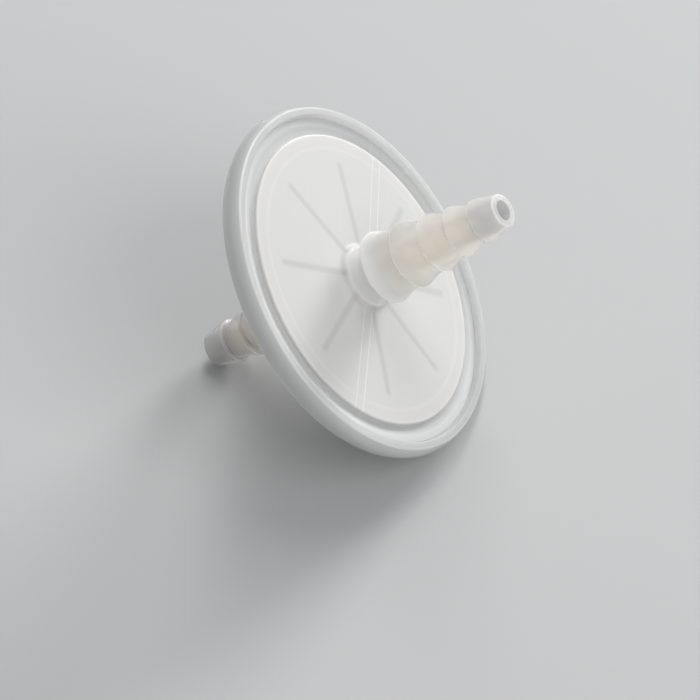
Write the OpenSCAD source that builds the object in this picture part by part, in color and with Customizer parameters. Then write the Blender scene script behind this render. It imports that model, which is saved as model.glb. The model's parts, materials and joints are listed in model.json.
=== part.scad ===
// In-line disc filter with a stepped hose barb on each face.
// Two like shells clamp a filter disc between them, and a ring moulded over
// their flanges holds them together. The shells are drawn about their own
// axis (+Z, mid-plane at 0) and then laid down as the filter comes to rest:
// on the edge of its rim and the end of one barb.

/* [Rim ring] */
// Outside diameter of the ring, at its parting line
ring_d = 64; // [60:0.5:72]
// Thickness of the ring, front face to back face
ring_t = 4.2; // [3.8:0.1:6]
// Radius that rounds the ring's two outer corners
ring_round = 0.25; // [0.15:0.05:0.4]
// Fall of the crowned outer wall, from its parting line to each corner
ring_crown = 0.65; // [0.4:0.05:0.8]
// Plastic of the ring outside the edge of the flanges
ring_wall = 1.4; // [1.1:0.1:2]
// Lap of the ring's lips over the flanges
lip_lap = 0.9; // [0.6:0.1:1.3]
// Slope of each lip's inner wall, as the width it takes
lip_slope = 0.35; // [0:0.05:0.5]

/* [Shells] */
// Thickness of one shell's flange, mid-plane to outer face
flange_t = 0.96; // [0.7:0.02:1.3]
// Width of the flange that shows inside the ring's lip
flange_land = 1.1; // [0.6:0.1:1.6]
// Thickness left under the groove around the raised face
groove_floor = 0.6; // [0.5:0.05:0.68]
// Width of the groove's flat floor
groove_w = 0.9; // [0.5:0.1:1.4]
// Width of the slope from the groove up to the flange
groove_slope = 1.1; // [0.6:0.1:1.6]
// Height of the raised face at its outer edge
face_edge_h = 1.5; // [1.3:0.05:1.9]
// Radius that rounds the raised face's outer edge
face_round = 0.3; // [0.1:0.05:0.5]
// Rise of the face from its outer edge to the hub
face_rise = 0.65; // [0.2:0.05:1]
// Wall of the raised face
wall = 1.1; // [0.9:0.05:1.2]

/* [Filter disc] */
// Diameter of the open filter area
open_d = 48; // [44:0.5:50]
// Width of filter disc clamped between the shells
clamp_w = 2.2; // [1.5:0.1:2.4]
// Thickness of the membrane
membrane_t = 0.2; // [0.1:0.02:0.24]
// Thickness of the backing cloth behind the membrane
backing_t = 0.25; // [0.1:0.01:0.26]

/* [Ribs] */
// Number of ribs inside each shell
rib_count = 8; // [4:1:12]
// Width of a rib
rib_w = 0.9; // [0.6:0.1:1.4]
// Distance from the axis to a rib's outer end
rib_reach = 21.5; // [16:0.5:22]
// Distance from the axis to a rib's inner end
rib_start = 3.2; // [2.8:0.1:5]
// Gap between the ribs and the filter disc
rib_gap = 0.05; // [0.02:0.01:0.1]

/* [Hose barbs] */
// Bore of each barb
bore_d = 3.6; // [2.4:0.1:4.2]
// Distance from the mid-plane to the end of a barb
barb_reach = 33.3; // [31:0.1:40]
// Diameter of the nose cone at the end of a barb
end_d = 6; // [5.6:0.1:6.8]
// Radius that rounds the end of a barb
end_round = 0.4; // [0.2:0.05:0.5]
// Number of ridges on a barb
ridge_count = 5; // [3:1:5]
// Diameter over the sharp edge of the ridge nearest the end, before rounding
first_ridge_d = 8; // [7.4:0.1:8.6]
// Diameter over the sharp edge of the ridge nearest the disc
last_ridge_d = 13.3; // [12.4:0.1:14]
// Radius that rounds the edge of each ridge
ridge_round = 0.3; // [0.1:0.05:0.4]
// Distance from the end of the barb to the first ridge's edge
nose_len = 4.9; // [4.5:0.1:6]
// Distance from the first ridge to the second
first_pitch = 4.85; // [4.4:0.05:5]
// What each further pitch adds to the one before
pitch_growth = 0.4; // [0.2:0.02:0.44]
// Length of the flare that climbs to each ridge
ridge_flare = 2.4; // [1.6:0.1:3]
// Height of that flare
flare_h = 0.9; // [0.6:0.05:1.1]
// Drop behind each ridge to the next neck
ridge_drop = 0.77; // [0.5:0.01:0.85]
// Length of the back face behind each ridge
ridge_back = 0.4; // [0.2:0.05:0.6]
// Diameter of the hub neck between the last ridge and the face
hub_d = 10.6; // [10:0.1:11.4]
// Radius of the fillet between the hub and the face
hub_fillet = 1.2; // [0.5:0.1:1.8]
// Radius of the fillet where the bore opens into the chamber
mouth_fillet = 0.5; // [0.2:0.05:0.6]

/* [As it lies] */
// Turn of the filter about its own axis
roll = 36.7; // [0:0.1:45]

/* [Hidden] */
$fn = 96;

// radii of the rim's section, from the outside in
ring_r = ring_d / 2;
corner_r = ring_r - ring_crown - ring_round;
corner_z = ring_t / 2 - ring_round;
flange_r = ring_r - ring_wall;
lip_r = flange_r - lip_lap;
land_r = lip_r - flange_land;
groove_out_r = land_r - groove_slope;
face_r = groove_out_r - groove_w;

// the filter stack, centred on the mid-plane
stack_t = membrane_t + backing_t;
open_r = open_d / 2;
pocket_r = open_r + clamp_w;

// the raised face and the chamber under it
hub_r = hub_d / 2;
slope = face_rise / (face_r - hub_r);
function face_z(r) = face_edge_h + slope * (face_r - r);
function ceiling_z(r) = face_z(r) - wall;
bore_r = bore_d / 2;

// stations and radii of the ridges' edges, from the end of the barb inwards
function ridge_z(k) = barb_reach - nose_len - k * first_pitch - pitch_growth * k * (k - 1) / 2;
function ridge_r(k) = (first_ridge_d + (last_ridge_d - first_ridge_d) * k / (ridge_count - 1)) / 2;
last = ridge_count - 1;

// centre of the round that touches both sides of corner p, from a and to b
function round_centre(a, p, b, r) =
    let (u = (a - p) / norm(a - p), v = (b - p) / norm(b - p))
    p + (u + v) / norm(u + v) * r / sin(acos(u * v) / 2);

// points of an arc about c, from angle a to angle b
function arc(c, r, a, b, n = 4) =
    [for (i = [0 : n]) c + r * [cos(a + (b - a) * i / n), sin(a + (b - a) * i / n)]];

function past_first(points) = [for (i = [1 : len(points) - 1]) points[i]];

// the same round as points: it turns by what the corner leaves of 180 degrees
function round_points(a, p, b, r) =
    let (c = round_centre(a, p, b, r),
         u = (a - p) / norm(a - p), v = (b - p) / norm(b - p),
         first = p + u * r / tan(acos(u * v) / 2) - c,
         from = atan2(first[1], first[0]),
         turn = (180 - acos(u * v)) * sign(cross(v, u)))
    arc(c, r, from, from + turn);

// closed outline through corners [radius, height, round], each one rounded
function xy(p) = [p[0], p[1]];
function rounded(corners) =
    let (n = len(corners))
    [for (i = [0 : n - 1])
        each (corners[i][2] == 0 ? [xy(corners[i])]
            : round_points(xy(corners[(i + n - 1) % n]), xy(corners[i]),
                           xy(corners[(i + 1) % n]), corners[i][2]))];

// how it lies: the floor touches the rim's round and the barb end's round
end_r = end_d / 2;
rim_touch = [corner_r, corner_z];
end_touch = round_centre([bore_r, barb_reach], [end_r, barb_reach], [ridge_r(0), ridge_z(0)], end_round);
span = rim_touch - end_touch;
lean = atan2(span[0], -span[1]) + asin((ring_round - end_round) / norm(span));
rest_h = rim_touch[0] * cos(lean) + rim_touch[1] * sin(lean) + ring_round;

// corners of ridge k: the flare that climbs to it, its edge, and its back
// face down to the next neck, or to the hub behind the last one
function ridge_corners(k) = [
    if (k > 0) [ridge_r(k) - flare_h, ridge_z(k) + ridge_flare, 0],
    [ridge_r(k), ridge_z(k), ridge_round],
    [k < last ? ridge_r(k) - ridge_drop : hub_r, ridge_z(k) - ridge_back, 0]
];

// half section of a shell, outside from the barb's end to the flange, then
// inside from the flange back to the bore
module shell_section() {
    barb = [[bore_r, barb_reach, 0],
            [end_r, barb_reach, end_round],
            for (k = [0 : last]) each ridge_corners(k)];
    face = [[hub_r, face_z(hub_r), hub_fillet],
            [face_r, face_edge_h, face_round],
            [face_r, groove_floor, 0],
            [groove_out_r, groove_floor, 0],
            [land_r, flange_t, 0],
            [flange_r, flange_t, 0],
            [flange_r, 0, 0]];
    inside = [[pocket_r, 0, 0],
              [pocket_r, stack_t / 2, 0],
              [open_r, stack_t / 2, 0],
              [open_r, ceiling_z(open_r), 0],
              [bore_r, ceiling_z(bore_r), mouth_fillet]];
    polygon(rounded([each barb, each face, each inside]));
}

// section of the space between the filter disc and a shell's ceiling, with
// an overlap into the wall so that the ribs grow out of it
module rib_section() {
    z = stack_t / 2 + rib_gap;
    root = wall / 2;
    polygon([[rib_start, z], [rib_reach, z],
             [rib_reach, ceiling_z(rib_reach) + root],
             [rib_start, ceiling_z(rib_start) + root]]);
}

module ribs() {
    intersection() {
        rotate_extrude() rib_section();
        for (k = [0 : rib_count - 1])
            rotate([0, 0, 360 * k / rib_count])
                translate([0, -rib_w / 2, 0])
                    cube([rib_reach + 1, rib_w, ring_t]);
    }
}

module shell() {
    rotate_extrude() shell_section();
    ribs();
}

// lays a piece drawn about its own axis down as the filter rests
module as_it_lies() {
    translate([0, 0, rest_h])
        rotate([0, 90 - lean, 0])
            rotate([0, 0, roll])
                children();
}

module inlet_housing() {
    color([0.91, 0.92, 0.91, 0.7]) as_it_lies() shell();
}

module outlet_housing() {
    color([0.88, 0.89, 0.89, 0.7]) as_it_lies() mirror([0, 0, 1]) shell();
}

// the ring's crowned wall is an arc about a point on the mid-plane, which
// runs on smoothly into the round of each corner
corner_in = ring_r - corner_r;
crown_r = (corner_in ^ 2 + corner_z ^ 2 - ring_round ^ 2) / 2 / ring_crown;
crown_end = atan2(corner_z, crown_r - corner_in);

// upper half of the ring's section, from its parting line to the flange
ring_half = [
    each arc([ring_r - crown_r, 0], crown_r, 0, crown_end, 6),
    each past_first(arc(rim_touch, ring_round, crown_end, 90)),
    [lip_r + lip_slope, ring_t / 2],
    [lip_r, flange_t],
    [flange_r, flange_t]
];

module rim_ring() {
    color([0.80, 0.82, 0.82, 0.6]) as_it_lies()
        rotate_extrude()
            polygon([each ring_half,
                     for (i = [len(ring_half) - 1 : -1 : 1]) [ring_half[i][0], -ring_half[i][1]]]);
}

module filter_membrane() {
    color([0.97, 0.97, 0.96]) as_it_lies()
        translate([0, 0, stack_t / 2 - membrane_t])
            cylinder(r = pocket_r, h = membrane_t);
}

module membrane_backing() {
    color([0.90, 0.90, 0.88]) as_it_lies()
        translate([0, 0, -stack_t / 2])
            cylinder(r = pocket_r, h = backing_t);
}

inlet_housing();
outlet_housing();
rim_ring();
filter_membrane();
membrane_backing();
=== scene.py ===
import json
import math

import bpy
import numpy as np
from mathutils import Matrix, Vector


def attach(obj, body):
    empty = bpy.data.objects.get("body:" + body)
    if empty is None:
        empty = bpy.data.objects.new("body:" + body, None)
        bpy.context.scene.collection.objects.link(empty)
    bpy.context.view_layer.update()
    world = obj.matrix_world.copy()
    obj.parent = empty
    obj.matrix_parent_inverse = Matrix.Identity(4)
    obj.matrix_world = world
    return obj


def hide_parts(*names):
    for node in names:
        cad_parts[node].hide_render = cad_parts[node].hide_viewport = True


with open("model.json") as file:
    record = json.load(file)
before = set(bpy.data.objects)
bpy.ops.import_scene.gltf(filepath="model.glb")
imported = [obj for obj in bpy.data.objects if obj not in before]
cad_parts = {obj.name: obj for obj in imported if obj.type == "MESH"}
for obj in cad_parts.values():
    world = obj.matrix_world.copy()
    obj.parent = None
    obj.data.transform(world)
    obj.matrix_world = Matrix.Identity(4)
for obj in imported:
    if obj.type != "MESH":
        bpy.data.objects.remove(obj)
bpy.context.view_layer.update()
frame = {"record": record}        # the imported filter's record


# Where the filter lies
# It rests on the edge of its rim and on the end of its lower barb. Its own
# axis runs from one barb's end to the other's, and the disc is halfway.
MM = 0.001
mounts = {m["name"]: m for m in frame["record"]["mounts"]}
upper_bore, lower_bore = mounts["inlet_bore"], mounts["outlet_bore"]
axis = Vector(upper_bore["axis"]).normalized()
middle = (Vector(upper_bore["pos_m"]) + Vector(lower_bore["pos_m"])) / 2
down_the_disc = (axis * axis.z - Vector((0, 0, 1))).normalized()
across = axis.cross(down_the_disc)
lie = Matrix((down_the_disc, across, axis)).transposed()


# The membrane's backing cloth
# A thin disc of white bonded fibres that carries the membrane. It is cut to
# the pocket between the shells, whose edges clamp it.
pocket_r = 26.2
membrane_t = 0.2
backing_t = 0.25
stack_t = membrane_t + backing_t
cut_edge = 0.04


def put(name, points, faces):
    """A smoothly shaded mesh from points in millimetres about the disc's own axis, each carried to where the
    filter lies: the middle, plus the point turned from the disc's own directions to the room's."""
    placed = points @ (np.array(lie) * MM).T + np.array(middle)
    mesh = bpy.data.meshes.new(name)
    mesh.from_pydata(placed.tolist(), [], faces)
    mesh.update()
    mesh.polygons.foreach_set("use_smooth", np.ones(len(mesh.polygons), bool))
    thing = bpy.data.objects.new(name, mesh)
    bpy.context.scene.collection.objects.link(thing)
    return thing


def coin(name, r, z0, z1, flat_rings=26, turns=288):
    """A thin disc with rounded edges: rings of points at (radius, height), closed by one point on the axis
    at each end, each ring being radius * (cos a, sin a) for a full turn of a."""
    flat = np.linspace(0, 1, flat_rings + 1)[1:] * (r - cut_edge)
    bend = np.linspace(0, math.pi / 2, 4)
    out, fall = cut_edge * np.sin(bend), cut_edge * (1 - np.cos(bend))
    radius = np.concatenate([flat, r - cut_edge + out[1:], (r - cut_edge + out)[::-1], flat[::-1][1:]])
    height = np.concatenate([np.full(len(flat), z0), z0 + fall[1:],
                             (z1 - fall)[::-1], np.full(len(flat) - 1, z1)])
    a = np.arange(turns) * 2 * math.pi / turns
    rings = np.stack([radius[:, None] * np.cos(a), radius[:, None] * np.sin(a),
                      np.repeat(height[:, None], turns, 1)], -1).reshape(-1, 3)
    points = np.vstack([rings, [[0, 0, z0], [0, 0, z1]]])
    k, j = np.meshgrid(np.arange(len(radius) - 1), np.arange(turns), indexing="ij")
    nxt = (j + 1) % turns
    quads = np.stack([k * turns + j, k * turns + nxt, (k + 1) * turns + nxt, (k + 1) * turns + j], -1)
    faces = quads.reshape(-1, 4).tolist()
    foot, top, last = len(rings), len(rings) + 1, (len(radius) - 1) * turns
    faces += [[foot, (i + 1) % turns, i] for i in range(turns)]
    faces += [[top, last + i, last + (i + 1) % turns] for i in range(turns)]
    return put(name, points, faces)


class Wire:
    """A value in a node tree. Arithmetic on it adds Math nodes, and add() adds any other node."""

    def __init__(self, tree, socket=None):
        self.tree, self.socket = tree, socket

    def feed(self, node, inputs):
        """Gives each of these sockets of a node its value, or links it where that is a wire."""
        for key, value in inputs.items():
            if isinstance(value, Wire):
                self.tree.links.new(value.socket, node.inputs[key])
            else:
                node.inputs[key].default_value = value

    def add(self, kind, inputs=None, output=0, **settings):
        """A wire from the named output of a new node, or one from each of several. Its settings are made
        first, and its inputs second."""
        node = self.tree.nodes.new("ShaderNode" + kind)
        for key, value in settings.items():
            setattr(node, key, value)
        self.feed(node, inputs or {})
        if isinstance(output, tuple):
            return [Wire(self.tree, node.outputs[each]) for each in output]
        return Wire(self.tree, node.outputs[output])

    def maths(self, operation, a, b=0.0):
        return self.add("Math", {0: a, 1: b}, operation=operation)

    def __add__(self, other):
        return self.maths("ADD", self, other)

    __radd__ = __add__

    def __sub__(self, other):
        return self.maths("SUBTRACT", self, other)

    def __rsub__(self, other):
        return self.maths("SUBTRACT", other, self)

    def __mul__(self, other):
        return self.maths("MULTIPLY", self, other)

    __rmul__ = __mul__

    def __abs__(self):
        return self.maths("ABSOLUTE", self)

    def step(self, low, high):
        """0 below low and 1 above high, with a smooth climb between. With low above high it falls instead."""
        return self.add("MapRange", {"Value": self, "From Min": low, "From Max": high},
                        interpolation_type="SMOOTHSTEP")

    def band(self, foot, first, last, end):
        """1 from first to last, with a smooth climb from foot and a smooth fall to end."""
        return self.step(foot, first) * self.step(end, last)

    def blend(self, first, second):
        """The colour first where this value is 0, and second where it is 1. Sockets 6 and 7 of a Mix node are
        its two colours, and its output 2 is the mixed one."""
        return self.add("Mix", {"Factor": self, 6: first, 7: second}, output=2, data_type="RGBA")


def material(name):
    """A new material, its own shader, and a wire in its node tree to work from."""
    made = bpy.data.materials.new(name)
    made.use_nodes = True
    return made, made.node_tree.nodes["Principled BSDF"], Wire(made.node_tree)


def let_light_through(made, share):
    """Mixes plain light from behind into a thin sheet's shader, by that share."""
    nodes, w = made.node_tree.nodes, Wire(made.node_tree)
    front = Wire(made.node_tree, nodes["Principled BSDF"].outputs[0])
    behind = w.add("BsdfTranslucent", {"Color": (0.95, 0.95, 0.94, 1)})
    w.feed(nodes["Material Output"], {"Surface": w.add("MixShader", {0: share, 1: front, 2: behind})})


def fibre_cloth():
    """White bonded fibres: a matt cloth with a fine felted grain, in its colour and as a slight bump."""
    made, shader, w = material("bonded_fibre")
    seen = w.add("TexCoord", output="Object")
    grain = w.add("TexNoise", {"Vector": seen, "Scale": 2600.0, "Detail": 3.0})
    bump = w.add("Bump", {"Height": grain, "Strength": 0.3, "Distance": 0.0001})
    w.feed(shader, {"Base Color": grain.blend((0.80, 0.80, 0.78, 1), (0.90, 0.90, 0.88, 1)),
                    "Roughness": 0.9, "Specular IOR Level": 0.2, "Normal": bump})
    let_light_through(made, 0.3)
    return made


backing = coin("backing_cloth", pocket_r, -stack_t / 2, backing_t - stack_t / 2)
backing.data.materials.append(fibre_cloth())
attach(backing, "root")
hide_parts("membrane_backing")


# The membrane
# A white microporous film, cut to the same round as its backing and clamped
# with it. It is what makes the disc look white through the upper shell.
def white_film():
    """Matt white film with a faint cloudiness."""
    made, shader, w = material("membrane_film")
    seen = w.add("TexCoord", output="Object")
    cloud = w.add("TexNoise", {"Vector": seen, "Scale": 160.0, "Detail": 2.0})
    w.feed(shader, {"Base Color": cloud.blend((0.90, 0.90, 0.89, 1), (0.95, 0.95, 0.945, 1)),
                    "Roughness": 0.75, "Specular IOR Level": 0.25})
    let_light_through(made, 0.25)
    return made


membrane = coin("membrane", pocket_r, stack_t / 2 - membrane_t, stack_t / 2)
membrane.data.materials.append(white_film())
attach(membrane, "root")
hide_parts("filter_membrane")


# The two shells
# Two mouldings of natural polypropylene from one mould: a shallow round lid
# with eight ribs inside, and a hose barb with five stepped ridges outside.
# Their flanges lie face to face, and the rim ring holds them together.
flange_r = 30.6
flange_t = 0.96
flange_edge = 0.05
land_r = 28.6
land_round = 0.4
groove_out_r = 27.5
groove_out_round = 0.5
groove_in_round = 0.25
groove_floor = 0.6
face_r = 26.6
face_edge_h = 1.5
face_rise = 0.65
face_round = 0.3
face_draft = 0.02
open_r = 24.0
clamp_round = 0.05
ceiling_round = 0.15
parting_edge = 0.02
wall = 1.1

rib_count = 8
rib_start = 3.2
rib_reach = 21.5
rib_gap = 0.05
rib_crest, rib_root = 0.40, 0.52    # half the width of a rib
roll = 36.7

bore_r = 1.8
bore_mouth_round = 0.5
bore_end_round = 0.08
barb_reach = 33.3
end_r = 3.0
end_round = 0.4
nose_len = 4.9
ridge_count = 5
first_ridge_r = 4.0
last_ridge_r = 6.65
ridge_round = 0.3
ridge_flare = 2.4
flare_h = 0.9
flare_round = 1.8
ridge_drop = 0.77
ridge_back = 0.4
neck_round = 0.12
first_pitch = 4.85
pitch_growth = 0.4
hub_r = 5.3
hub_z = face_edge_h + face_rise
hub_fillet = 1.2

highlight_streak_across = (0.967, 0.254)     # the way across the two fine painted highlight streaks on a face
highlight_streak_offsets = (0.35, 2.2)           # how far each of them passes from the axis


def face_z(r):
    """Height of the raised face: a very shallow cone that climbs from its edge to the hub."""
    return face_edge_h + face_rise * (face_r - r) / (face_r - hub_r)


def ceiling_z(r):
    """Height of the shell's inner face, one wall under the raised face."""
    return face_z(r) - wall


def ridge_z(k):
    """Height of the edge of ridge k from the barb's end: the pitch grows by the same amount each time."""
    return barb_reach - nose_len - k * first_pitch - pitch_growth * k * (k - 1) / 2


def barb_corners():
    """Corners (r, z, fillet) of the barb's outside from its end to the hub: a tapered nose, then a back face,
    a neck and a soft flare before each next ridge. The ridges' radii grow evenly towards the disc."""
    k = np.arange(ridge_count)
    r, z = first_ridge_r + (last_ridge_r - first_ridge_r) * k / (ridge_count - 1), ridge_z(k)
    corners = [(end_r, barb_reach, end_round)]
    for i in range(ridge_count):
        if i:
            corners.append((r[i] - flare_h, z[i] + ridge_flare, flare_round))
        corners.append((r[i], z[i], ridge_round))
        corners.append((r[i] - ridge_drop if i < ridge_count - 1 else hub_r, z[i] - ridge_back, neck_round))
    return corners


def rounded(corners, arc_step=15.0):
    """A closed outline through corners (r, z, fillet): each becomes an arc that touches both its sides, in
    steps of arc_step degrees or less, or stays a point where it has no fillet or hardly turns."""
    line = []
    count = len(corners)
    hardly_turns = math.pi - 0.02
    longest_back = 0.45
    for i in range(count):
        p = np.array(corners[i][:2], float)
        a = np.array(corners[i - 1][:2], float) - p
        b = np.array(corners[(i + 1) % count][:2], float) - p
        reach_a, reach_b = np.hypot(*a), np.hypot(*b)
        a, b = a / reach_a, b / reach_b
        opening = math.acos(np.clip(a @ b, -1, 1))
        radius = corners[i][2]
        if radius <= 0 or opening > hardly_turns:
            line.append(p)
            continue
        back = min(radius / math.tan(opening / 2), longest_back * reach_a, longest_back * reach_b)
        radius = back * math.tan(opening / 2)
        centre = p + (a + b) / np.hypot(*(a + b)) * radius / math.sin(opening / 2)
        first = p + a * back - centre
        swing = math.pi - opening
        steps = max(2, math.ceil(math.degrees(swing) / arc_step))
        turn = -math.copysign(swing, a[0] * b[1] - a[1] * b[0]) * np.arange(steps + 1) / steps
        line += list(centre + np.stack([np.cos(turn) * first[0] - np.sin(turn) * first[1],
                                        np.sin(turn) * first[0] + np.cos(turn) * first[1]], -1))
    return np.array(line)


def supported(line, near=0.06, longest=1.2):
    """The closed outline with points added on each long side, one near each end and the rest evenly between,
    so that the shading stays flat between two fillets."""
    found = []
    for p, q in zip(line, np.roll(line, -1, axis=0)):
        length = np.hypot(*(q - p))
        stops = [0.0]
        if length > 4 * near:
            inner = max(1, math.ceil((length - 2 * near) / longest))
            stops += list((near + (length - 2 * near) * np.arange(inner + 1) / inner) / length)
        found += [p + (q - p) * s for s in stops]
    return np.array(found)


def turned(name, points, outward):
    """The closed skin over a grid of points, rows along an outline by columns round the axis: each face joins
    neighbouring rows and columns, the last with the first. It faces out with outward either 1 or -1."""
    rows, cols = points.shape[:2]
    i, j = np.meshgrid(np.arange(rows), np.arange(cols), indexing="ij")
    i2, j2 = (i + 1) % rows, (j + 1) % cols
    quads = np.stack([i * cols + j, i2 * cols + j, i2 * cols + j2, i * cols + j2], -1).reshape(-1, 4)
    return put(name, points.reshape(-1, 3), quads[:, ::outward].tolist())


def shell_outline():
    """The shell's section as points (r, z), outside from the barb's end to the flange and inside back to the
    bore, and the slice of it that is the ribbed ceiling, whose rows crowd where a rib starts and ends."""
    corners = barb_corners() + [
        (hub_r, face_z(hub_r), hub_fillet),
        (face_r, face_edge_h, face_round),
        (face_r - face_draft, groove_floor, groove_in_round),
        (groove_out_r, groove_floor, groove_out_round),
        (land_r, flange_t, land_round),
        (flange_r, flange_t, flange_edge),
        (flange_r, 0.0, parting_edge),
        (pocket_r, 0.0, parting_edge),
        (pocket_r, stack_t / 2, parting_edge),
        (open_r, stack_t / 2, clamp_round),
        (open_r, ceiling_z(open_r), ceiling_round),
        (bore_r, ceiling_z(bore_r), bore_mouth_round),
        (bore_r, barb_reach, bore_end_round)]
    line = supported(rounded(corners))
    r, z = line[:, 0], line[:, 1]
    on_ceiling = (np.abs(z - ceiling_z(r)) < 1e-6) & (r < open_r - 0.3) & (r > bore_r + 0.6)
    first, last = np.flatnonzero(on_ceiling)[[0, -1]]
    rows = np.concatenate([[r[first]],
                           rib_reach + np.array([0.5, 0.15, 0.05, 0.0, -0.05, -0.12, -0.4]),
                           np.linspace(rib_reach - 1.2, rib_start + 1.2, 18),
                           rib_start + np.array([0.4, 0.12, 0.05, 0.0, -0.05, -0.15, -0.35]),
                           [r[last]]])
    line = np.vstack([line[:first], np.stack([rows, ceiling_z(rows)], -1), line[last + 1:]])
    return line, slice(first, first + len(rows))


def smooth(x, low, high):
    """0 below low and 1 above high, with the climb 3t^2 - 2t^3 between."""
    t = np.clip((x - low) / (high - low), 0, 1)
    return t * t * (3 - 2 * t)


def shell(name, side):
    """A shell: its outline turned about the axis, on a grid of outline points by angles. Inside, the height
    drops from the ceiling to the ribs' level where |r sin(angle from a rib)| is under half a rib's width."""
    line, ribbed = shell_outline()
    r, z = line[:, 0], line[:, 1]
    # columns at these distances from a rib's middle, closest at its sides, and the rest spread evenly
    aside = np.array([0.0, 0.2, 0.36, 0.42, 0.46, 0.5, 0.56, 0.68])
    share = np.linspace(0, 1, 12)[1:]
    half = math.pi / rib_count
    # the radius at which they are kept: the row's own on the ceiling, and that of the ribs' ends elsewhere
    kept_r = np.clip(r, rib_start, rib_reach)
    kept_r[:ribbed.start] = rib_reach
    kept_r[ribbed.stop:] = np.linspace(rib_start, rib_reach, len(r) - ribbed.stop)
    near_rib = np.arcsin(aside / kept_r[:, None])
    beyond = near_rib[:, -1:] + (half - near_rib[:, -1:]) * share
    half_period = np.hstack([near_rib, beyond])
    period = np.hstack([-half_period[:, -2:0:-1], half_period])
    angle = np.hstack([period + 2 * half * k for k in range(rib_count)]) + math.radians(roll)
    off_rib = np.abs(kept_r[:, None] * np.sin(np.tile(period, rib_count)))

    across_rib = 1 - smooth(off_rib, rib_crest, rib_root)
    end_slope = 0.08
    along_rib = (smooth(r, rib_start - end_slope, rib_start + end_slope)
                 * (1 - smooth(r, rib_reach - end_slope, rib_reach + end_slope)))
    drop = np.zeros_like(off_rib)
    drop[ribbed] = (across_rib * (along_rib * (z - stack_t / 2 - rib_gap))[:, None])[ribbed]
    points = np.stack([r[:, None] * np.cos(angle), r[:, None] * np.sin(angle),
                       side * (z[:, None] - drop)], -1)
    return turned(name, points, side)


def disc_place(w):
    """(x, y, distance from the axis, height above the middle plane) of the point being shaded, in mm."""
    own = w.add("Mapping", {"Vector": w.add("TexCoord", output="Object"), "Location": middle,
                            "Rotation": lie.to_euler(), "Scale": (MM, MM, MM)}, vector_type="TEXTURE")
    x, y, z = w.add("SeparateXYZ", {0: own}, output=("X", "Y", "Z"))
    return x, y, w.maths("SQRT", x * x + y * y), z


def tinted(colour, share):
    """The colour with each part of it times that share."""
    return [c * share for c in colour[:3]] + [1]


def natural_polypropylene(name, look):
    """Milky moulded plastic. look(w) gives its colour, its clear share, the share that carries light through
    from behind, and its gloss: a milky, a light-carrying and a clear shader are mixed by the two shares."""
    made, milky, w = material(name)
    colour, clear_share, through_share, gloss = look(w)
    w.feed(milky, {"Base Color": colour, "Roughness": 0.42, "IOR": 1.49, "Subsurface Weight": 0.5,
                   "Subsurface Scale": 0.002, "Subsurface Radius": (1.0, 0.95, 0.9),
                   "Coat Weight": gloss, "Coat Roughness": 0.04})
    through = w.add("BsdfTranslucent", {"Color": (0.97, 0.965, 0.95, 1)})
    clear = w.add("BsdfPrincipled", {"Base Color": colour, "Roughness": 0.2, "IOR": 1.49,
                                     "Transmission Weight": 0.95,
                                     "Coat Weight": gloss, "Coat Roughness": 0.04})
    milk = w.add("MixShader", {0: through_share, 1: Wire(w.tree, milky.outputs[0]), 2: through})
    plastic = w.add("MixShader", {0: clear_share, 1: milk, 2: clear})
    w.feed(w.tree.nodes["Material Output"], {"Surface": plastic})
    return made


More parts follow.
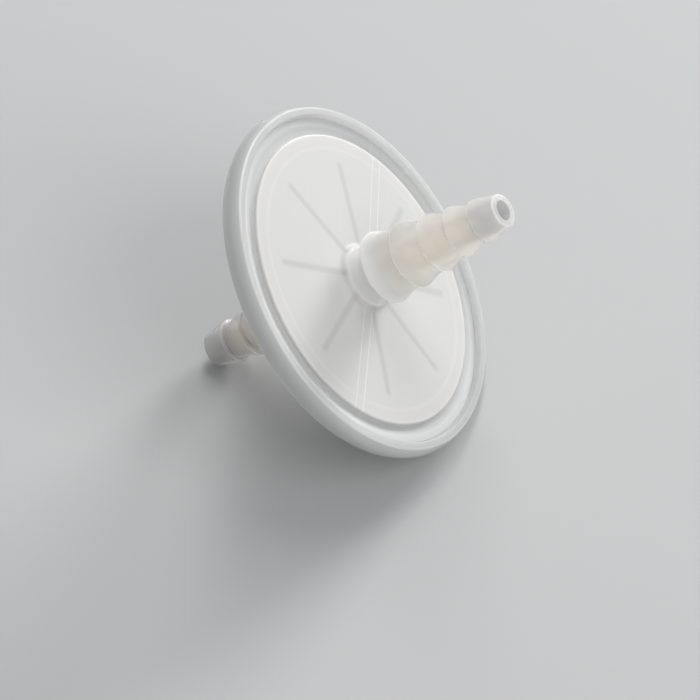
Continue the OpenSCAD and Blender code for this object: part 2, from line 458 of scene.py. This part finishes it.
def shell_look(face, flange, barb, clear_face, clear_flange, clear_barb, ridge_highlight, highlight_streak_strength):
    """The look of a shell, from the colours of its face, flange and barb, the clear share of each, and how
    strongly the painted highlights on the ridges' edges and the two painted highlight streaks on the face
    show. Each part is a mask on the distance from the axis or on the height, blended over the ones before it."""
    def look(w):
        x, y, r, z = disc_place(w)
        height = abs(z)
        on_face = height.step(hub_z + 0.45, hub_z + 0.05)
        on_barb = height.step(hub_z + 0.15, hub_z + 0.85)
        outward = r.step(face_r - 0.1, face_r + 0.4)

        # painted shade: the ribs show through the face as soft darker lines, and the cloth's clamped edge as
        # a paler band
        turn = w.maths("ARCTAN2", y, x) - math.radians(roll)
        off_rib = r * w.maths("SINE", w.maths("PINGPONG", turn, math.pi / rib_count))
        rib = off_rib.step(0.95, 0.2) * r.band(rib_start, rib_start + 1.5, rib_reach - 0.7, rib_reach + 0.5)
        clamped = r.band(open_r - 0.3, open_r + 0.3, face_r - 0.2, face_r + 0.2)
        colour = rib.blend(face, tinted(face, 0.87))
        colour = clamped.blend(colour, (face[0] * 1.01, face[1] * 1.005, face[2] * 0.99, 1))

        # painted shade darkens the hollow between the face and the land, and the barb is warmer along its
        # middle and darker on its end
        groove_shade = r.step(groove_out_r + 1.2, groove_out_r + 0.4)
        warm = height.band(6.0, 13.0, 24.0, 36.0)
        end_face = height.step(barb_reach - 0.15, barb_reach - 0.05)
        colour = outward.blend(colour, groove_shade.blend(flange, tinted(flange, 0.9)))
        warm_barb = (barb[0] * 0.99, barb[1] * 0.935, barb[2] * 0.875, 1)
        colour = on_barb.blend(colour, warm.blend(barb, warm_barb))
        colour = end_face.blend(colour, tinted(barb, 0.82))

        # pale lines: painted highlights on the ridges' edges, two painted highlight streaks across the face,
        # and faint lines at the clamped band's edges
        off_edge = abs(height - barb_reach)
        for k in range(ridge_count):
            off_edge = w.maths("MINIMUM", off_edge, abs(height - ridge_z(k)))
        ridge_highlight_mask = off_edge.step(0.28, 0.14) * r.step(2.55, 2.75)
        aside = x * highlight_streak_across[0] + y * highlight_streak_across[1]
        highlight_streak = w.maths("MAXIMUM", *[abs(aside - off).step(0.12, 0.05) for off in highlight_streak_offsets])
        clamp_edge = w.maths("MAXIMUM", abs(r - open_r).step(0.5, 0.1),
                             abs(r - (face_r - 0.3)).step(0.4, 0.1))
        pale = w.maths("MAXIMUM", ridge_highlight_mask * ridge_highlight, highlight_streak * highlight_streak_strength * on_face)
        pale = w.maths("MAXIMUM", pale, clamp_edge * on_face * 0.06)
        colour = pale.blend(colour, (1.0, 0.995, 0.98, 1))

        # painted shade darkens the bore near the barb's end, and neither it nor a pale line is clear
        bore = r.step(bore_r + 0.12, bore_r + 0.04) * height.step(barb_reach - 9, barb_reach - 3)
        colour = bore.blend(colour, (0.60, 0.61, 0.62, 1))
        clear = (clear_face + outward * (clear_flange - clear_face)
                 + height.step(7.0, 13.0) * (clear_barb - clear_face))
        through = outward * 0.3 + height.step(5.0, 12.0) * 0.5
        return colour, clear * (1 - pale) * (1 - bore), through * (1 - 0.75 * bore), on_barb * 0.8 + 0.12
    return look


upper_plastic = natural_polypropylene("polypropylene_upper", shell_look(
    face=(0.65, 0.645, 0.635, 1), flange=(0.75, 0.755, 0.75, 1), barb=(0.985, 0.972, 0.95, 1),
    clear_face=0.15, clear_flange=0.0, clear_barb=0.5, ridge_highlight=1.0, highlight_streak_strength=0.3))
# the lower shell's barb is tinted darker than the upper's as painted shade, since it lies under the disc, and
# its ridges get weaker painted highlights
lower_plastic = natural_polypropylene("polypropylene_lower", shell_look(
    face=(0.80, 0.80, 0.79, 1), flange=(0.84, 0.85, 0.85, 1), barb=(0.84, 0.84, 0.82, 1),
    clear_face=0.3, clear_flange=0.5, clear_barb=0.8, ridge_highlight=0.35, highlight_streak_strength=0.0))

lower_shell = shell("outlet_shell", -1)
lower_shell.data.materials.append(lower_plastic)
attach(lower_shell, "root")
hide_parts("outlet_housing")

upper_shell = shell("inlet_shell", 1)
upper_shell.data.materials.append(upper_plastic)
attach(upper_shell, "root")
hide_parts("inlet_housing")


# The rim ring
# Polypropylene moulded round the shells' flanges, which welds them together.
# Its two lips lap over the flanges, and its outer wall is slightly crowned.
ring_r = 32.0
ring_t = 4.2
ring_round = 0.25
ring_crown = 0.65
corner_r = ring_r - ring_crown - ring_round
corner_z = ring_t / 2 - ring_round
lip_r = 29.7
lip_slope = 0.35
lip_round = 0.12
lip_edge = 0.03


def rim_ring(name, turns=360):
    """The ring: a closed outline of crowned wall, corner rounds, lips and channel, turned about the axis. The
    wall is an arc about a point on the middle plane, which runs on smoothly into each corner's round."""
    inward = ring_r - corner_r
    crown_r = (inward ** 2 + corner_z ** 2 - ring_round ** 2) / (2 * ring_crown)
    crown_end = math.atan2(corner_z, crown_r - inward)
    crown = np.linspace(0, crown_end, 14)[1:]
    bend = np.linspace(crown_end, math.pi / 2, 7)[1:]
    crowned = [(ring_r - crown_r + crown_r * math.cos(a), crown_r * math.sin(a), 0) for a in crown]
    corner = [(corner_r + ring_round * math.cos(a), corner_z + ring_round * math.sin(a), 0) for a in bend]
    lip = [(lip_r + lip_slope, ring_t / 2, lip_round),
           (lip_r, flange_t, lip_edge),
           (flange_r, flange_t, lip_edge)]
    upper = crowned + corner + lip
    lower = [(r, -z, fillet) for r, z, fillet in upper[::-1]]
    line = supported(rounded([(ring_r, 0.0, 0)] + upper + lower, arc_step=10.0))
    a = np.arange(turns) * 2 * math.pi / turns
    points = np.stack([line[:, :1] * np.cos(a), line[:, :1] * np.sin(a),
                       np.repeat(line[:, 1:], turns, 1)], -1)
    return turned(name, points, -1)


def ring_look(w):
    """The ring's wall is greyer than its lips, and painted highlights make its two corners fine pale lines,
    the one on the lower side stronger.
    """
    x, y, r, z = disc_place(w)
    wall_side = r.step(corner_r - 0.1, corner_r + 0.2)
    # painted highlights: fine pale lines along both corners of the wall
    corner = abs(z).step(corner_z - 0.07, corner_z + 0.05) * r.band(
        corner_r - 0.1, corner_r + 0.05, corner_r + 0.3, corner_r + 0.5) * (0.35 + z.step(0.5, -0.5) * 0.5)
    colour = wall_side.blend((0.86, 0.865, 0.865, 1), (0.64, 0.65, 0.645, 1))
    colour = corner.blend(colour, (1.0, 0.98, 0.95, 1))
    return colour, 0.3 * (1 - corner), r.step(corner_r + 0.3, corner_r - 0.2) * 0.3 + 0.2, 1.0


ring = rim_ring("moulded_ring")
ring.data.materials.append(natural_polypropylene("polypropylene_ring", ring_look))
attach(ring, "root")
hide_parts("rim_ring")


# The floor
# A plain pale sheet that the filter lies on. It shows pale, and lights the
# filter from below no more than a grey table does.
def shown_share(w):
    """1 for what is seen directly, in gloss or through clear plastic, and 0 for the light it sends out."""
    rays = w.add("LightPath", output=("Is Camera Ray", "Is Glossy Ray", "Is Transmission Ray"))
    return w.maths("MINIMUM", rays[0] + rays[1] + rays[2], 1.0)


floor_half = 3.0
floor_mesh = bpy.data.meshes.new("floor")
floor_mesh.from_pydata([(-floor_half, -floor_half, 0), (floor_half, -floor_half, 0),
                        (floor_half, floor_half, 0), (-floor_half, floor_half, 0)], [], [(0, 1, 2, 3)])
floor = bpy.data.objects.new("floor", floor_mesh)
bpy.context.scene.collection.objects.link(floor)
floor_paint, floor_shader, w = material("pale_floor")
w.feed(floor_shader, {"Base Color": shown_share(w).blend((0.45, 0.45, 0.45, 1), (0.50, 0.50, 0.50, 1)),
                      "Roughness": 0.9, "Specular IOR Level": 0.1})
floor.data.materials.append(floor_paint)


# The studio
# A long key strip above and behind, a low lamp behind that casts the barb's
# soft shadow on the face, a broad fill in front, and a dim even surround.
def softbox(name, towards, distance, width, length, power):
    """An area lamp at that distance from the filter, facing it."""
    lamp = bpy.data.lights.new(name, "AREA")
    lamp.shape, lamp.size, lamp.size_y, lamp.energy = "RECTANGLE", width, length, power
    thing = bpy.data.objects.new(name, lamp)
    way = Vector(towards).normalized()
    thing.location = middle + way * distance
    thing.rotation_euler = way.to_track_quat("Z", "Y").to_euler()
    bpy.context.scene.collection.objects.link(thing)
    return thing


softbox("key", (-0.09, 0.55, 0.83), distance=1.2, width=0.25, length=1.2, power=6.5)
low_back = softbox("low_back", (0.366, 0.903, 0.226), distance=1.2, width=0.45, length=0.45, power=14.0)
low_back.visible_glossy = False
softbox("front_fill", (0.8, -0.5, 0.75), distance=1.6, width=1.2, length=1.2, power=11.0)

world = bpy.data.worlds.new("studio_air")
bpy.context.scene.world = world
world.use_nodes = True
air = Wire(world.node_tree)
air.feed(world.node_tree.nodes["Background"], {"Color": (0.95, 0.97, 1.0, 1),
                                               "Strength": shown_share(air) * 0.13 + 0.42})
bpy.context.scene.view_settings.view_transform = "Standard"


# The camera
# A long lens, looking down at the upper face from its right.
azimuth, elevation, tilt = math.radians(11.33), math.radians(44.13), math.radians(2.346)
aim = middle + Vector((0.983, -8.157, -8.444)) * MM
distance = 0.96
back = Vector((math.sin(azimuth) * math.cos(elevation), -math.cos(azimuth) * math.cos(elevation),
               math.sin(elevation)))
level = Vector((math.cos(azimuth), math.sin(azimuth), 0))
rise = back.cross(level)
right = level * math.cos(tilt) + rise * math.sin(tilt)
lens = bpy.data.cameras.new("camera")
lens.sensor_width, lens.lens = 36.0, 288.49
camera = bpy.data.objects.new("camera", lens)
camera.matrix_world = Matrix.Translation(aim + back * distance) @ Matrix(
    (right, back.cross(right), back)).transposed().to_4x4()
bpy.context.scene.collection.objects.link(camera)
bpy.context.scene.camera = camera
